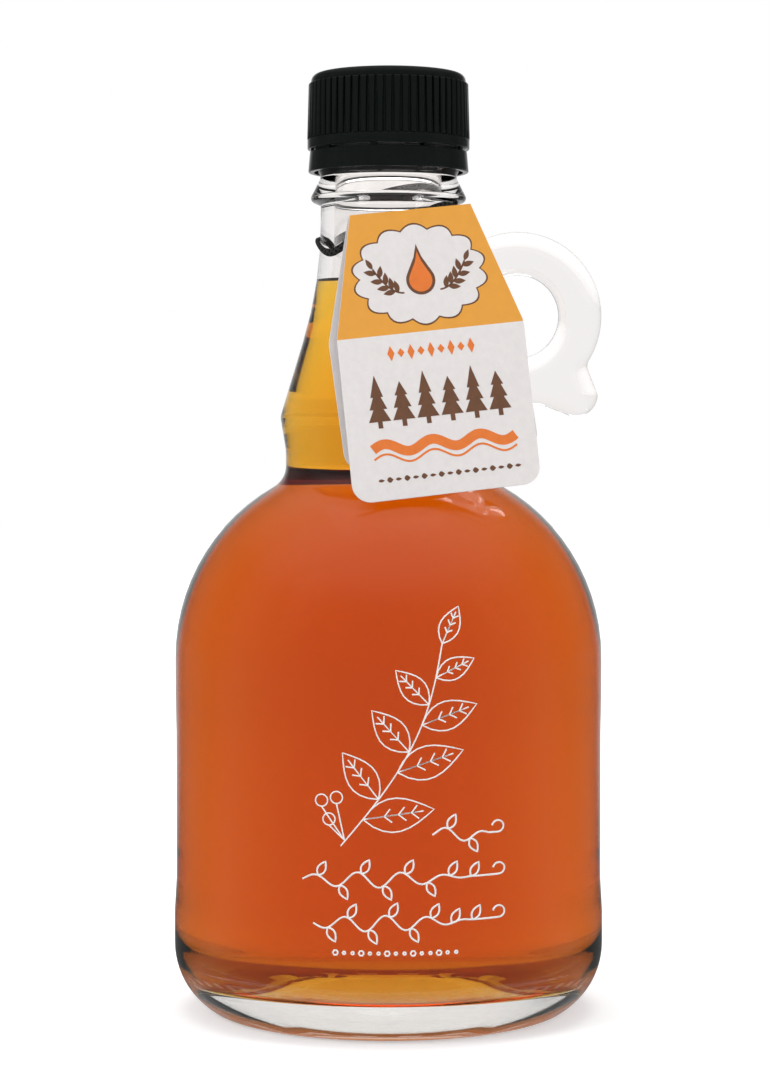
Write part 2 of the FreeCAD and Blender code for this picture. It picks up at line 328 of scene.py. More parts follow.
def sums(tree, operation, first, second):
    """Two numbers put together by a Math node."""
    made = node(tree, "ShaderNodeMath", operation=operation)
    for spot, number in ((0, first), (1, second)):
        if isinstance(number, float):
            made.inputs[spot].default_value = number
        else:
            tree.links.new(number, made.inputs[spot])
    return made.outputs[0]


def mirror_level(tree, toward_back):
    """How bright the room is in a mirror image: grey before the jug, darker beside it, bright behind it."""
    before = ramp(tree, toward_back, (-0.1, 0.35), (0.33, 0.12))
    return sums(tree, "ADD", before, ramp(tree, toward_back, (0.8, 1.0), (0.0, 0.5)))


def new_material(name, colour=(1, 1, 1), **more):
    """A material with its Principled shader's own sockets set."""
    made = bpy.data.materials.new(name)
    made.use_nodes = True
    shader = made.node_tree.nodes["Principled BSDF"]
    shader.inputs["Base Color"].default_value = (*colour, 1)
    for key, value in more.items():
        shader.inputs[key.replace("_", " ")].default_value = value
    return made, made.node_tree, shader


# %% [markdown]
# ## Floor and world
# A white sweep with soft light. Clear glass has no look of its own: it is drawn by what it bends and
# mirrors into view. So the backdrop is white to the camera and through the glass, while the mirror image
# in its front is darker, as in a studio with black flags beside the camera; that keeps the syrup deep and
# gives the glass its thin bright rims. The floor adds a little light of its own, so that it reads as
# white while the jug's shadow still falls on it.

# %% Floor
bpy.ops.object.select_all(action="DESELECT")
bpy.ops.mesh.primitive_plane_add(size=6.0)
floor = bpy.context.object
floor.name = "floor"

white_sweep, tree, surface = new_material("white_sweep", Roughness=0.9, Specular_IOR_Level=0.1)
surface.inputs["Emission Color"].default_value = (1, 1, 1, 1)
path = node(tree, "ShaderNodeLightPath")
spot = node(tree, "ShaderNodeTexCoord")
reach = node(tree, "ShaderNodeVectorMath", operation="LENGTH")
tree.links.new(spot.outputs["Object"], reach.inputs[0])
# The floor's glow is weak close to the jug and grows outwards: painted shade round the jug's foot, and
# painted light on the far floor, which the lamps light less.
lift = ramp(tree, reach.outputs["Value"], (0.06, 0.4), (0.40, 0.8))
aim = node(tree, "ShaderNodeVectorMath", operation="NORMALIZE")
tree.links.new(spot.outputs["Object"], aim.inputs[0])
side = node(tree, "ShaderNodeSeparateXYZ")
tree.links.new(aim.outputs["Vector"], side.inputs[0])
lift = blend(tree, path.outputs["Is Glossy Ray"], lift, mirror_level(tree, side.outputs["Y"]))
# Seen through the glass, the floor glows little close to the jug's foot and keeps a darker base colour:
# painted shade, which gives the dark patches in the glass's heel and foot.
glass_view_shade = ramp(tree, reach.outputs["Value"], (0.03, 0.075), (0.3, 0.88))
lift = blend(tree, path.outputs["Is Transmission Ray"], lift, glass_view_shade)
lift = blend(tree, path.outputs["Is Diffuse Ray"], lift, 0.0)
tree.links.new(lift, surface.inputs["Emission Strength"])
tone = blend(tree, path.outputs["Is Glossy Ray"], 0.86, 0.0)
tone = blend(tree, path.outputs["Is Transmission Ray"], tone, 0.32)
tree.links.new(tone, surface.inputs["Base Color"])
floor.data.materials.append(white_sweep)

# %% World
world = bpy.data.worlds.new("studio")
bpy.context.scene.world = world
world.use_nodes = True
tree = world.node_tree
path = node(tree, "ShaderNodeLightPath")
spot = node(tree, "ShaderNodeTexCoord")
direction = node(tree, "ShaderNodeSeparateXYZ")
tree.links.new(spot.outputs["Generated"], direction.inputs[0])
overhead = ramp(tree, direction.outputs["Z"], (0.45, 0.95), (0.0, 0.45))
mirrored = sums(tree, "ADD", mirror_level(tree, direction.outputs["Y"]), overhead)
through = ramp(tree, direction.outputs["Y"], (-0.3, 0.2), (0.7, 1.0))
strength = blend(tree, path.outputs["Is Camera Ray"], 0.55, 1.0)
strength = blend(tree, path.outputs["Is Glossy Ray"], strength, mirrored)
strength = blend(tree, path.outputs["Is Transmission Ray"], strength, through)
tree.links.new(strength, tree.nodes["Background"].inputs["Strength"])
tree.nodes["Background"].inputs["Color"].default_value = (1, 1, 1, 1)

# %% Lamps
def softbox(name, location, size, power):
    """A large area lamp that faces the jug's middle and doesn't show in mirror images."""
    data = bpy.data.lights.new(name, "AREA")
    data.shape = "RECTANGLE"
    data.size, data.size_y = size
    data.energy = power
    lamp = bpy.data.objects.new(name, data)
    lamp.location = location
    lamp.rotation_euler = (Vector((0, 0, 0.09)) - Vector(location)).to_track_quat("-Z", "Y").to_euler()
    lamp.visible_glossy = False
    bpy.context.scene.collection.objects.link(lamp)
    return lamp


softbox("left_softbox", (-0.9, -0.7, 0.75), (0.5, 0.8), 7.0)
softbox("right_softbox", (1.0, -0.5, 0.65), (0.4, 0.8), 4.0)
softbox("top_softbox", (0.0, 0.2, 1.3), (0.9, 0.9), 7.0)

# %% [markdown]
# ## The glass jug
# A jug like this is blown in a mould: thick at the foot, thin in the wall, with a ring at the root of the
# neck, a bead under the cap and a knurled ring that it stands on. Its outside and inside are one closed
# outline, so one spin makes a shell with a true wall, and light bends at both faces as it does in glass.
# A solid with a colour would be simpler, but its edges would not brighten and darken as real glass does.

# %% Spin the glass
knurls = 48
outside = [
    (0.0, punt_height, 0),
    (punt_flat, punt_height, punt_round),
    (foot_inside, 0.0, 0.8),
    (foot_outside, 0.0, 4.3),
    (body_radius, 5.22, 15.2),
    (body_radius, 20.0, 20.0),
    (panel_radius, 27.0, 20.0),
    (panel_radius, 56.0, 20.0),
    (upper_radius, 63.0, 20.0),
    shoulder_out,
    root_out,
    (waist_radius, root_top + 3.0, 8.0),
    (21.75, ring_z, 3.2),
    (neck_radius, taper_z, 82.5),
    (neck_radius, bead_z, 0.5),
    (15.9, bead_z + 1.0, 0.9),
    (13.5, bead_top, 1.2),
    (14.5, bead_top + 1.6, 0.5),
    (14.5, rim_z, 0.8),
    (mouth_radius, rim_z, 0.0),
]
waist_inside = waist_radius - neck_wall
shoulder_in, root_in, _ = shoulder(body_radius - wall, waist_inside, shoulder_round - wall,
                                   root_round + neck_wall)
inside = [
    (0.0, floor_middle, 0),
    (punt_flat, floor_middle, punt_round),
    (body_radius - wall, floor_edge, floor_round),
    shoulder_in,
    root_in,
    (waist_inside, ring_z, 20.0),
    (bore_radius, bore_z, bore_round),
    (bore_radius, rim_z, 0.8),
    (mouth_radius, rim_z, 0.0),
]
outline = rounded(outside, 5) + rounded(inside, 5)[::-1][1:]
glass = spun(outline, "glass_jug", knurls * 4)

# %% [markdown]
# ## The knurled foot
# The ring that the jug stands on is cut into small blocks, which keep the hot glass off the belt and the
# finished jug off a wet shelf. Every second pair of faces of the ring is pressed up a little to make the
# gaps between them.

# %% Press the gaps between the knurls
def in_gap(face):
    """Whether a face of the standing ring lies in a gap."""
    middle = face.center
    radius = math.hypot(middle.x, middle.y) / MM
    if middle.z > 0.03 * MM or not foot_inside - 0.1 < radius < foot_outside + 0.01:
        return False
    turn = math.degrees(math.atan2(middle.y, middle.x)) / (360 / knurls)
    return abs(turn - round(turn)) < 0.25


edit(glass, in_gap)
bpy.ops.mesh.extrude_region_move(TRANSFORM_OT_translate={"value": (0, 0, 0.45 * MM)})
done(glass)

# %% [markdown]
# ## The ring handle
# The little handle is pressed on while the glass is soft: a flat ring, a thumb tail under it and an arm
# that joins the neck. It is drawn as one outline, given its thickness, bored, and its rims are rounded
# with a bevel until only a narrow flat is left. Its inner side lies inside the neck's wall, so a Boolean
# makes the two one piece of glass.

# %% Model the handle
ring_radius = 16.95
ring_hole = 8.3
ring_across = neck_radius + 12.25
ring_up = root_top + 29.9
tail_across = ring_across + 11.85
tail_up = ring_up - 15.7
arm_up = ring_up - 17.6
half_thick = 4.0
tail_low = arc(tail_across, tail_up, 4.4, -120, 0)
notch = arc(ring_across, ring_up, ring_radius, -35, -28, 7)
handle_line = (
    rounded([(19.2, arm_up, 0), (ring_across + 4.6, arm_up, 8.0), (tail_low[0].x, tail_low[0].y, 0)])
    + tail_low[1:]
    + rounded([(*tail_low[-1], 0), (*notch[0], 2.0), (*notch[-1], 0)])[1:]
    + arc(ring_across, ring_up, ring_radius, -28, 142, 4)[1:]
    + [Vector((13.2, 146.0)), Vector((14.9, 138.0)), Vector((17.4, 128.0))]
)
handle = slab(handle_line, "handle", 2 * half_thick, -half_thick)
bpy.ops.object.select_all(action="DESELECT")
bpy.ops.mesh.primitive_cylinder_add(vertices=96, radius=ring_hole * MM, depth=20 * MM,
                                    rotation=(math.pi / 2, 0, 0),
                                    location=(ring_across * MM, 0, ring_up * MM))
bore = bpy.context.object
modify(handle, "BOOLEAN", operation="DIFFERENCE", object=bore, solver="EXACT")
bpy.data.objects.remove(bore)


def on_rim(edge):
    """Whether an edge lies on the rim of the plate or of its hole."""
    ends = [handle.data.vertices[number].co for number in edge.vertices]
    if abs(ends[0].y - ends[1].y) > 0.01 * MM:
        return False
    flat = [face for face in edge_faces.get(tuple(sorted(edge.vertices)), []) if abs(face.normal.y) > 0.9]
    return len(flat) == 1


edge_faces = {}
for face in handle.data.polygons:
    for key in face.edge_keys:
        edge_faces.setdefault(tuple(sorted(key)), []).append(face)
edit(handle, on_rim, "EDGE")
bpy.ops.mesh.bevel(offset=3.5 * MM, offset_type="OFFSET", segments=7, profile=0.5, clamp_overlap=False)
bpy.ops.mesh.select_all(action="SELECT")
bpy.ops.mesh.remove_doubles(threshold=0.002 * MM)
bpy.ops.mesh.normals_make_consistent(inside=False)
done(handle)
modify(handle, "REMESH", mode="VOXEL", voxel_size=0.35 * MM)
modify(handle, "SMOOTH", factor=0.5, iterations=6)
print("handle", len(handle.data.polygons), "faces")

# %% Fuse the handle to the neck
modify(glass, "BOOLEAN", operation="UNION", object=handle, solver="EXACT")
bpy.data.objects.remove(handle)
smooth(glass, 50)

# %% [markdown]
# ## Clear glass, dry and wet
# Clear glass is a smooth surface that bends light by its index, with a very faint warm tint. Where the
# syrup wets the wall there is no air between them, so almost nothing is mirrored there. A second material
# marks those faces: the same index, so that light turns the same way, and a black specular tint, which
# takes away the false mirror.

# %% Glass materials
clear_glass, tree, shader = new_material("clear_glass", (0.915, 0.893, 0.88), Roughness=0.0, IOR=1.5,
                                         Transmission_Weight=1.0)
wet_glass, tree, shader = new_material("wet_glass", (0.99, 0.995, 0.99), Roughness=0.0, IOR=1.5,
                                       Transmission_Weight=1.0, Specular_Tint=(0, 0, 0, 1))
glass.data.materials.append(clear_glass)
glass.data.materials.append(wet_glass)
for face in glass.data.polygons:
    middle = face.center / MM
    radius = math.hypot(middle.x, middle.y)
    inwards = face.normal.x * middle.x + face.normal.y * middle.y < -0.01 * radius
    on_floor = face.normal.z > 0.3 and 5.0 < middle.z < 14.0 and radius < 42.0
    low_ring = middle.z < 5.3 and radius < 36.0
    wet = middle.z < fill_z and radius < 42.0 and (inwards or on_floor) and not low_ring
    by_handle = middle.x > 12 and abs(middle.y) < 6 and middle.z > 115 and radius > 18.5
    face.material_index = 1 if wet and not by_handle else 0
hand_in(glass, None, "clear_glass", "jug_glass")

# %% [markdown]
# ## Syrup
# Dark syrup is clear: it looks dark because it soaks up blue and green light over a few centimetres. So
# it is a closed body whose inside absorbs light, pale gold in the thin neck and deep red-brown in the
# wide body, from one and the same material. It reaches a little into the glass, so that no film of air
# shows between them, and it climbs the wall slightly at its level.

# %% Syrup
bite = 0.12
syrup_in, syrup_root, _ = shoulder(body_radius - wall + bite, waist_inside + bite,
                                   shoulder_round - wall + bite, root_round + neck_wall - bite)
slope = (waist_inside - bore_radius) / (bore_z - ring_z)
level_radius = bore_radius + bite + (bore_z - fill_z) * slope + 0.25
pool = [
    (0.0, floor_middle - bite, 0),
    (punt_flat, floor_middle - bite, punt_round),
    (body_radius - wall + bite, floor_edge - bite, floor_round + bite),
    syrup_in,
    syrup_root,
    (waist_inside + bite, ring_z, 20.0),
    (level_radius, fill_z + 0.5, 0.0),
    (level_radius - 0.5, fill_z + 0.4, 0.0),
    (level_radius - 2.0, fill_z - 0.3, 2.5),
    (0.0, fill_z - 0.3, 0.0),
]
syrup = smooth(spun(rounded(pool, 5), "syrup_fill", 192), 40)
amber_syrup, tree, shader = new_material("amber_syrup", Roughness=0.0, IOR=1.47, Transmission_Weight=1.0,
                                         Specular_Tint=(0, 0, 0, 1))
soak = node(tree, "ShaderNodeVolumeAbsorption")
soak.inputs["Color"].default_value = (0.9446, 0.7668, 0.0, 1)
soak.inputs["Density"].default_value = 155.0
tree.links.new(soak.outputs[0], tree.nodes["Material Output"].inputs["Volume"])
hand_in(syrup, amber_syrup, "amber_syrup", "syrup")

# %% [markdown]
# ## Effects that several materials share
# Nothing real is perfectly even: card has fibres, ink lies a little unevenly, plastic has a faint moulded
# mottle. One node group gives each of them a small change of colour and of height from noise. It is built
# once, and every material places it with its own scale and strength.

# %% Mottle group
mottle = bpy.data.node_groups.new("mottle", "ShaderNodeTree")
for label, kind, level in (("Scale", "NodeSocketFloat", 800.0),
                           ("Stretch", "NodeSocketVector", (1, 1, 1)),
                           ("Colour", "NodeSocketColor", (1, 1, 1, 1)),
                           ("Darkening", "NodeSocketFloat", 0.1)):
    mottle.interface.new_socket(label, in_out="INPUT", socket_type=kind).default_value = level
mottle.interface.new_socket("Colour", in_out="OUTPUT", socket_type="NodeSocketColor")
mottle.interface.new_socket("Height", in_out="OUTPUT", socket_type="NodeSocketFloat")
given = mottle.nodes.new("NodeGroupInput")
result = mottle.nodes.new("NodeGroupOutput")
spot = node(mottle, "ShaderNodeTexCoord")
stretched = node(mottle, "ShaderNodeVectorMath", operation="MULTIPLY")
mottle.links.new(spot.outputs["Object"], stretched.inputs[0])
mottle.links.new(given.outputs["Stretch"], stretched.inputs[1])
grain = node(mottle, "ShaderNodeTexNoise", Detail=4.0, Roughness=0.6)
mottle.links.new(stretched.outputs[0], grain.inputs["Vector"])
mottle.links.new(given.outputs["Scale"], grain.inputs["Scale"])
shade = node(mottle, "ShaderNodeMapRange")
shade.inputs["From Min"].default_value, shade.inputs["From Max"].default_value = 0.3, 0.7
mottle.links.new(grain.outputs["Fac"], shade.inputs["Value"])
amount = sums(mottle, "MULTIPLY", shade.outputs["Result"], given.outputs["Darkening"])
darker = node(mottle, "ShaderNodeMix", data_type="RGBA", blend_type="MULTIPLY")
mottle.links.new(amount, darker.inputs[0])
mottle.links.new(given.outputs["Colour"], darker.inputs[6])
darker.inputs[7].default_value = (0, 0, 0, 1)
mottle.links.new(darker.outputs[2], result.inputs["Colour"])
mottle.links.new(shade.outputs["Result"], result.inputs["Height"])


def mottled(name, colour, scale, darkening, relief, stretch=(1, 1, 1), rough=(0.5, 0.6), **more):
    """A material whose colour, height and roughness change a little over the surface."""
    made, tree, shader = new_material(name, colour, **more)
    group = node(tree, "ShaderNodeGroup", node_tree=mottle)
    group.inputs["Scale"].default_value = scale
    group.inputs["Stretch"].default_value = stretch
    group.inputs["Colour"].default_value = (*colour, 1)
    group.inputs["Darkening"].default_value = darkening
    tree.links.new(group.outputs["Colour"], shader.inputs["Base Color"])
    bump = node(tree, "ShaderNodeBump", Strength=0.6, Distance=relief * MM)
    tree.links.new(group.outputs["Height"], bump.inputs["Height"])
    tree.links.new(bump.outputs["Normal"], shader.inputs["Normal"])
    tree.links.new(ramp(tree, group.outputs["Height"], (0.0, 1.0), rough), shader.inputs["Roughness"])
    return made


# %% [markdown]
# ## The screw cap
# The cap comes from the CAD model with its sixty ribs, its crown, its collar and the tamper band on nine
# bridges, so only its finish is made here: black moulded plastic, glossy, with a very faint mottle that
# breaks up the highlights.

# %% Cap finish
black_plastic = mottled("black_plastic", (0.0042, 0.006, 0.0056), 900.0, 0.25, 0.003, (1, 1, 0.25),
                        (0.09, 0.15), Specular_IOR_Level=0.14)
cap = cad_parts["screw_cap"]
cap.data.materials.clear()
cap.data.materials.append(black_plastic)

# %% [markdown]
# ## The elastic
# A thin braided elastic goes round the neck, pushed up under the bead on one side and lower on the other,
# and its knotted end is caught between the leaves of the tag. A ring of tube is a torus, here pressed
# flat against the glass and pulled up and down by proportional editing. Its braid is a relief that
# follows the torus's own UV map, so that the weave runs along the loop.

# %% Elastic loop
loop_tilt = 13.5
loop_turn = 25.0
cord_radius = 0.8
cosine = math.cos(math.radians(loop_tilt))
loop_radius = (neck_radius + 0.24 + cord_radius / cosine) / cosine
loop_place = (Matrix.Translation((0, 0, (bead_z - 4.15) * MM))
              @ Matrix.Rotation(math.radians(loop_turn), 4, "Z")
              @ Matrix.Rotation(math.radians(-loop_tilt), 4, "Y"))
pressed_radius = 14.55
pressed_half = 0.48
pressed_height = 1.7
bpy.ops.object.select_all(action="DESELECT")
bpy.ops.mesh.primitive_torus_add(major_radius=pressed_radius * MM, minor_radius=pressed_half * MM,
                                 major_segments=192, minor_segments=20, generate_uvs=True)
loop = place(bpy.context.object, loop_place @ Matrix.Diagonal((1, 1, pressed_height, 1)))
smooth(loop, 80)


def pull(piece, direction, rise, reach):
    """Pull the loop up or down where it faces a direction, with a soft falloff on both sides."""
    way = math.radians(direction)
    edit(piece, lambda vertex: abs(math.atan2(vertex.co.y, vertex.co.x) - way) < 0.02, "VERT")
    bpy.ops.transform.translate(value=(0, 0, rise * MM), use_proportional_edit=True,
                                use_proportional_connected=True, proportional_edit_falloff="SMOOTH",
                                proportional_size=reach * MM)
    return done(piece)


pull(loop, -46, 2.0, 11.0)
pull(loop, -143, -2.4, 9.0)

braid, tree, shader = new_material("black_elastic", (0.01, 0.01, 0.01), Specular_IOR_Level=0.3)
cloth = node(tree, "ShaderNodeUVMap")
counts = node(tree, "ShaderNodeMapping")
counts.inputs["Scale"].default_value = (70.0, 4.0, 1.0)
tree.links.new(cloth.outputs["UV"], counts.inputs["Vector"])
across = node(tree, "ShaderNodeSeparateXYZ")
tree.links.new(counts.outputs["Vector"], across.inputs[0])
leaning = sums(tree, "ADD", across.outputs["X"], across.outputs["Y"])
one_way = sums(tree, "SINE", sums(tree, "MULTIPLY", leaning, math.tau), 0.0)
crossing = sums(tree, "SUBTRACT", across.outputs["X"], across.outputs["Y"])
other_way = sums(tree, "SINE", sums(tree, "MULTIPLY", crossing, math.tau), 0.0)
strands = sums(tree, "MAXIMUM", one_way, other_way)
relief = node(tree, "ShaderNodeBump", Strength=1.0, Distance=0.12 * MM)
tree.links.new(strands, relief.inputs["Height"])
tree.links.new(relief.outputs["Normal"], shader.inputs["Normal"])
tree.links.new(ramp(tree, strands, (-0.5, 1.0), (0.95, 0.6)), shader.inputs["Roughness"])
# The braid's colour follows its relief: painted shade in the grooves between the strands, with the strands'
# crests left lighter.
groove_shade = node(tree, "ShaderNodeMix", data_type="RGBA")
tree.links.new(ramp(tree, strands, (-0.4, 1.0), (0.0, 1.0)), groove_shade.inputs[0])
groove_shade.inputs[6].default_value = (0.006, 0.006, 0.006, 1)
groove_shade.inputs[7].default_value = (0.03, 0.029, 0.028, 1)
tree.links.new(groove_shade.outputs[2], shader.inputs["Base Color"])

# %% [markdown]
# ## The folded tag
# The tag is one strip of card, folded over at the top: a front leaf, a shorter back leaf with a hole for
# the elastic, and a round fold between. Its own frame has its origin in the middle of the fold's front
# edge, so each leaf is drawn flat there, and the whole tag is then hung in its place, turned, leaning
# back and rolled a little.

# %% Where the tag hangs
card_thick = 0.35
fold_gap = 1.2
tag_turn = 11.0
fold_half = 12.1
shoulder_drop = 24.2
front_drop = 56.2
hole_drop = 3.0
front_way = math.radians(tag_turn - 90 - loop_turn)
hang = loop_place @ (Vector((math.cos(front_way), math.sin(front_way), 0)) * loop_radius * MM)
depth = loop_radius + cord_radius + 0.25 + 2 * card_thick + fold_gap
turned = Matrix.Rotation(math.radians(tag_turn), 4, "Z")
sideways = turned @ Vector((0.8 * MM, -depth * MM, 0))
tag_place = (Matrix.Translation((sideways.x, sideways.y, hang.z + 2.85 * MM)) @ turned
             @ Matrix.Rotation(math.radians(-10.0), 4, "X") @ Matrix.Rotation(math.radians(-6.4), 4, "Y"))
print("tag hangs at", [round(v / MM, 1) for v in tag_place.translation])


def leaf_line(half, drop, shift=0.0, foot_shift=0.0):
    """The outline of a leaf of the card: narrow at the fold, sloping shoulders, rounded lower corners."""
    corners = [(fold_half, 0, 0), (shift + half, -shoulder_drop, 4.0), (foot_shift + half, -drop, 3.6),
               (foot_shift - half, -drop, 3.6), (shift - half, -shoulder_drop, 4.0), (-fold_half, 0, 0)]
    return rounded(corners, 10)


def cut_leaf(name, *sizes):
    """A flat leaf with an edge across its shoulders, where the printed field ends."""
    leaf = slab(leaf_line(*sizes), name, card_thick)
    edit(leaf)
    bpy.ops.mesh.bisect(plane_co=(0, 0, -shoulder_drop * MM), plane_no=(0, 0, 1))
    return done(leaf)


# %% Cut and fold the card
front_leaf = cut_leaf("front_leaf", 18.65, front_drop, 0.55, -0.75)
back_leaf = cut_leaf("back_leaf", 19.3, 49.4)
bpy.ops.object.select_all(action="DESELECT")
bpy.ops.mesh.primitive_cylinder_add(vertices=40, radius=2.3 * MM, depth=4 * MM, rotation=(math.pi / 2, 0, 0),
                                    location=(0, 0, -hole_drop * MM))
punch = bpy.context.object
modify(back_leaf, "BOOLEAN", operation="DIFFERENCE", object=punch, solver="EXACT")
bpy.data.objects.remove(punch)
behind_fold = Matrix.Translation((0, (card_thick + fold_gap) * MM, 0))
place(back_leaf, behind_fold @ Matrix.Rotation(math.radians(1.9), 4, "X"))
bpy.ops.object.select_all(action="DESELECT")
bpy.ops.mesh.primitive_plane_add(size=1, location=(0, card_thick / 2 * MM, 0))
fold = bpy.context.object
fold.scale = (2 * fold_half * MM, card_thick * MM, 1)
bpy.ops.object.transform_apply(location=True, rotation=True, scale=True)
edit(fold)
bpy.ops.mesh.spin(steps=14, angle=-math.pi, center=(0, (card_thick + fold_gap / 2) * MM, 0), axis=(1, 0, 0))
bpy.ops.mesh.select_all(action="SELECT")
bpy.ops.mesh.normals_make_consistent(inside=False)
done(fold)
print("fold reaches", round(max(v.co.z for v in fold.data.vertices) / MM, 2), "mm above the leaves")
tag = join([front_leaf, back_leaf, fold], "folded_tag")

# %% Card and orange ink
tag_card = mottled("tag_card", (0.735, 0.700, 0.690), 700.0, 0.06, 0.01, (1, 1, 1), (0.55, 0.68),
                   Specular_IOR_Level=0.35)
orange_ink = mottled("orange_ink", (0.745, 0.335, 0.050), 420.0, 0.05, 0.006, (1, 1, 1), (0.42, 0.5),
                     Specular_IOR_Level=0.4)
brown_ink = mottled("brown_ink", (0.155, 0.068, 0.035), 500.0, 0.15, 0.006, (1, 1, 1), (0.45, 0.55),
                    Specular_IOR_Level=0.4)
rust_ink = mottled("rust_ink", (0.760, 0.190, 0.035), 500.0, 0.10, 0.006, (1, 1, 1), (0.45, 0.55),
                   Specular_IOR_Level=0.4)
tag.data.materials.append(tag_card)
tag.data.materials.append(orange_ink)
for face in tag.data.polygons:
    above = face.center.z > -shoulder_drop * MM
    back_face = face.normal.y > 0.9 and face.center.y > (fold_gap + 1.5 * card_thick) * MM
    front_face = face.normal.y < -0.9 and face.center.y < 0.1 * MM
    over = face.center.z > 0.02 * MM
    face.material_index = 1 if (above and (front_face or back_face)) or over else 0
smooth(tag, 30)
place(tag, tag_place)
hand_in(tag, None, "tag_card", "neck_tag")

# %% [markdown]
# ## The picture on the tag
# The tag is printed with flat inks: a scalloped badge with a drop and two sprigs on the orange field, and
# under it diamonds, a row of trees, a ribbon and a dotted line. Each shape is cut as a very thin slab, a
# few hundredths of a millimetre above the card, which keeps its edge crisp.

# %% Shapes in ink
def ink(points, level):
    """A printed shape on the front leaf, its face a little in front of the card."""
    return slab(points, "ink", -(0.01 + level), 0.01)


def scallops(across, up, wide, high, count, bulge, extra=0.0):
    """An oval whose edge swells into scallops."""
    points = []
    for number in range(count * 8):
        turn = math.tau * number / (count * 8)
        swell = 1 + bulge * (abs(math.sin(turn * count / 2)) - 0.5)
        points.append(Vector((across + (wide * swell + extra) * math.cos(turn),
                              up + (high * swell + extra) * math.sin(turn))))
    return points


def drop(across, up, radius, height):
    """A drop: round below and pointed above."""
    low = arc(across, up, radius, 150, 390, 12)
    tip = Vector((across, up + height))
    return low + [low[-1].lerp(tip, 0.55) + Vector((-0.12 * radius, 0)), tip,
                  low[0].lerp(tip, 0.55) + Vector((0.12 * radius, 0))]


def almond(base, angle, length, width):
    """A leaf shape from its base, in a direction, pointed at both ends."""
    ahead = Vector((math.cos(math.radians(angle)), math.sin(math.radians(angle))))
    aside = Vector((-ahead.y, ahead.x))
    shares = [number / 8 for number in range(9)]
    swell = [aside * (width / 2 * math.sin(math.pi * t ** 0.85)) for t in shares]
    left = [base + ahead * (length * t) + out for t, out in zip(shares, swell)]
    right = [base + ahead * (length * t) - out for t, out in zip(shares, swell)]
    return left + right[-2:0:-1]


def band(points, width):
    """A ribbon of even width along a line of points."""
    left, right = [], []
    for number, here in enumerate(points):
        before, after = points[max(0, number - 1)], points[min(len(points) - 1, number + 1)]
        aside = (after - before).normalized().orthogonal() * (width / 2)
        left.append(here + aside)
        right.append(here - aside)
    return left + right[::-1]


# %% Badge with a drop and two sprigs
badge_up = -12.9
brown = [ink(scallops(0, badge_up, 12.6, 9.3, 14, 0.12, 0.35), 0.02)]
white = [ink(scallops(0, badge_up, 12.6, 9.3, 14, 0.12), 0.04)]
brown.append(ink(drop(0, badge_up - 1.2, 2.9, 7.2), 0.06))
rust = [ink(drop(0, badge_up - 1.2, 2.3, 5.8), 0.08)]
for side in (-1, 1):
    shares = [number / 10 for number in range(11)]
    stem = [Vector((side * (3.6 + 5.6 * t), badge_up - 3.4 + 5.2 * t * t)) for t in shares]
    brown.append(ink(band(stem, 0.35), 0.06))
    for share, angle in ((2, 78), (4, 84), (6, 92), (8, 102), (3, -8), (5, -2), (7, 6), (9, 14)):
        lean = angle if side > 0 else 180 - angle
        brown.append(ink(almond(stem[share], lean, 2.5, 1.1), 0.06))
    brown.append(ink(almond(stem[10], 62 if side > 0 else 118, 2.4, 1.0), 0.06))

# %% Diamonds, trees, ribbon and dots
diamonds_up = -27.9
trees_up = -42.2
ribbon_up = -46.2
dots_up = -52.3
for number in range(9):
    middle = -8.0 + 2.0 * number
    size = 1.5 if number % 2 == 0 else 0.9
    corners = ((-0.7, 0), (0, -size), (0.7, 0), (0, size))
    rust.append(ink([Vector((middle + x, diamonds_up + z)) for x, z in corners], 0.04))
for number in range(6):
    middle = -12.0 + 4.8 * number
    tall = 10.4 if number % 2 == 0 else 8.8
    half_line = [(-0.45, 0), (-0.45, 1.3), (-2.2, 1.3), (-1.0, 3.7), (-1.75, 3.7), (-0.75, 6.1), (-1.25, 6.1)]
    tree_line = half_line + [(0, tall)] + [(-x, z) for x, z in reversed(half_line)]
    brown.append(ink([Vector((middle + x, trees_up + z)) for x, z in tree_line], 0.04))
wave = [Vector((-14.2 + 28.4 * n / 60, ribbon_up + 0.9 * math.sin(n / 10 * math.pi))) for n in range(61)]
rust.append(ink(band(wave, 1.9), 0.04))
rust.append(ink(band([point + Vector((0, -2.0)) for point in wave], 0.4), 0.04))
for number in range(17):
    width = 1.1 if number % 2 else 0.6
    brown.append(ink(almond(Vector((-14.0 + 1.7 * number, dots_up)), 0, 1.25, width), 0.04))
for inked, material, name in ((brown, brown_ink, "tag_brown_print"), (rust, rust_ink, "tag_rust_print"),
                              (white, tag_card, "tag_badge")):
    hand_in(place(join(inked, name), tag_place), material, "tag_card")

# %% Knot of the elastic
knot_offset = Vector((0, card_thick + 0.6, -hole_drop)) * MM
knot_spot = tag_place @ knot_offset
bpy.ops.object.select_all(action="DESELECT")
bpy.ops.mesh.primitive_uv_sphere_add(radius=1.0, segments=24, ring_count=12)
knot = bpy.context.object
knot.scale = (1.6 * MM, 0.5 * MM, 1.6 * MM)
place(knot, tag_place @ Matrix.Translation(knot_offset))
run = hang - knot_spot
bpy.ops.object.select_all(action="DESELECT")
bpy.ops.mesh.primitive_cylinder_add(vertices=20, radius=cord_radius * MM, depth=run.length)
stem = bpy.context.object
place(stem, Matrix.Translation((hang + knot_spot) / 2) @ run.to_track_quat("Z", "Y").to_matrix().to_4x4())
elastic = smooth(join([loop, knot, stem], "elastic_loop"), 60)
hand_in(elastic, braid, "black_elastic", "tag_elastic")

# %% [markdown]
# ## The white drawing on the glass
# The front carries a drawing in white enamel, printed and fired on: a sprig in thin outline, and below it
# three trailing vines and a dotted line. The strokes are drawn flat in front of the jug as chains,
# pressed on the curved glass with a Shrinkwrap, and then given their thickness as round wires that sink
# half into the glass.

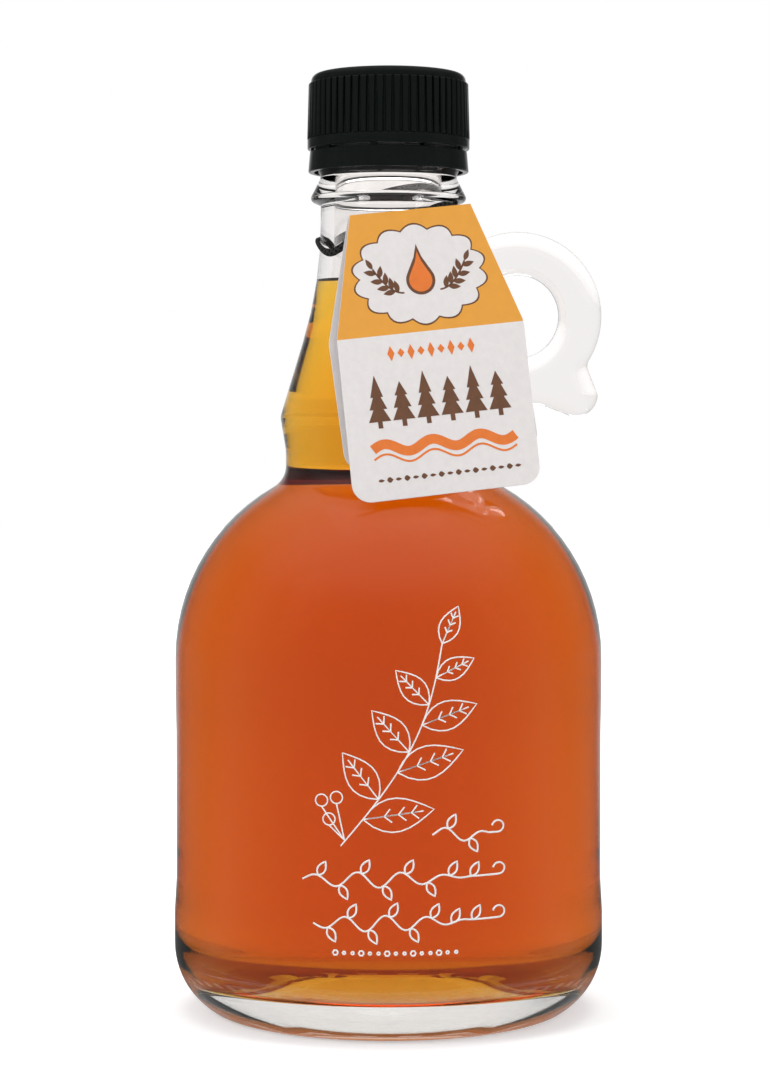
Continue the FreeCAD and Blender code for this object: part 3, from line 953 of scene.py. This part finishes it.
# %% Draw the strokes
def trail(start, end, swing, turns, count=60, flip=1):
    """A wavy line between two points."""
    points = []
    for number in range(count + 1):
        t = number / count
        fade = math.sin(math.pi * min(1.0, 0.15 + t))
        points.append(start.lerp(end, t) + Vector((0, flip * swing * math.sin(turns * math.tau * t) * fade)))
    return points


thin, bold = [], []
shares = [number / 30 for number in range(31)]
stem = [Vector((-9.0 + 19.0 * t + 4.0 * math.sin(math.pi * t), 38.5 + 38.0 * t)) for t in shares]
thin.append(stem)
for share, angle, length, width in ((4, 8, 13.5, 6.4), (7, 128, 11.0, 5.6), (11, 18, 13.0, 6.2),
                                    (14, 132, 10.5, 5.4), (18, 20, 11.0, 5.4), (21, 134, 9.0, 4.6),
                                    (25, 26, 8.0, 4.0), (30, 66, 7.5, 3.8)):
    edge = almond(stem[share], angle, length, width)
    thin.append(edge + edge[:1])
    ahead = Vector((math.cos(math.radians(angle)), math.sin(math.radians(angle))))
    aside = Vector((-ahead.y, ahead.x))
    thin.append([stem[share], stem[share] + ahead * length * 0.85])
    for along in (0.3, 0.5, 0.68):
        for side in (-1, 1):
            root = stem[share] + ahead * length * along
            thin.append([root, root + (ahead * 1.0 + aside * side) * width * 0.2])
for across, up in ((-11.2, 43.5), (-12.6, 47.0), (-9.8, 47.6)):
    berry = arc(across, up, 1.15, 0, 360, 24)
    thin.append(berry)
    thin.append([Vector((across, up - 1.15)), Vector((-8.3, 39.6))])
for start, end, turns, flip in ((Vector((8.2, 40.6)), Vector((20.6, 40.6)), 1.5, 1),
                                (Vector((-16.2, 32.0)), Vector((20.8, 32.6)), 4.5, 1),
                                (Vector((-14.2, 23.8)), Vector((20.8, 24.4)), 4.5, -1)):
    vine = trail(start, end, 1.5, turns, int(14 * turns), flip)
    bold.append(vine)
    for number in range(5, len(vine) - 3, 7):
        side = 1 if vine[number].y > start.y else -1
        sprout = almond(vine[number], 62 * side, 3.0, 1.5)
        bold.append(sprout + sprout[:1])
    bold.append(arc(end.x, end.y + 1.1, 1.1, -90, 170, 20))
for number in range(15):
    bold.append(arc(-10.0 + 1.62 * number, 18.4, 0.28 if number % 3 else 0.5, 0, 360, 60))

# %% Fire them on the glass
def fired(strokes, name, wire):
    """Press chains on the glass and give them a round thickness."""
    drawn = join([chain(points, name) for points in strokes], name)
    place(drawn, Matrix.Translation((0, -60 * MM, 0)))
    modify(drawn, "SHRINKWRAP", target=glass, wrap_method="PROJECT", use_project_y=True,
           use_positive_direction=True)
    pick(drawn)
    bpy.ops.object.convert(target="CURVE")
    drawn.data.bevel_depth = wire * MM
    drawn.data.bevel_resolution = 1
    drawn.data.use_fill_caps = True
    bpy.ops.object.convert(target="MESH")
    return smooth(drawn, 60)


white_enamel = mottled("white_enamel", (0.87, 0.86, 0.85), 900.0, 0.06, 0.004, (1, 1, 1), (0.3, 0.4))
hand_in(fired(thin, "sprig_print", 0.15), white_enamel, "white_enamel")
hand_in(fired(bold, "vine_print", 0.2), white_enamel, "white_enamel")
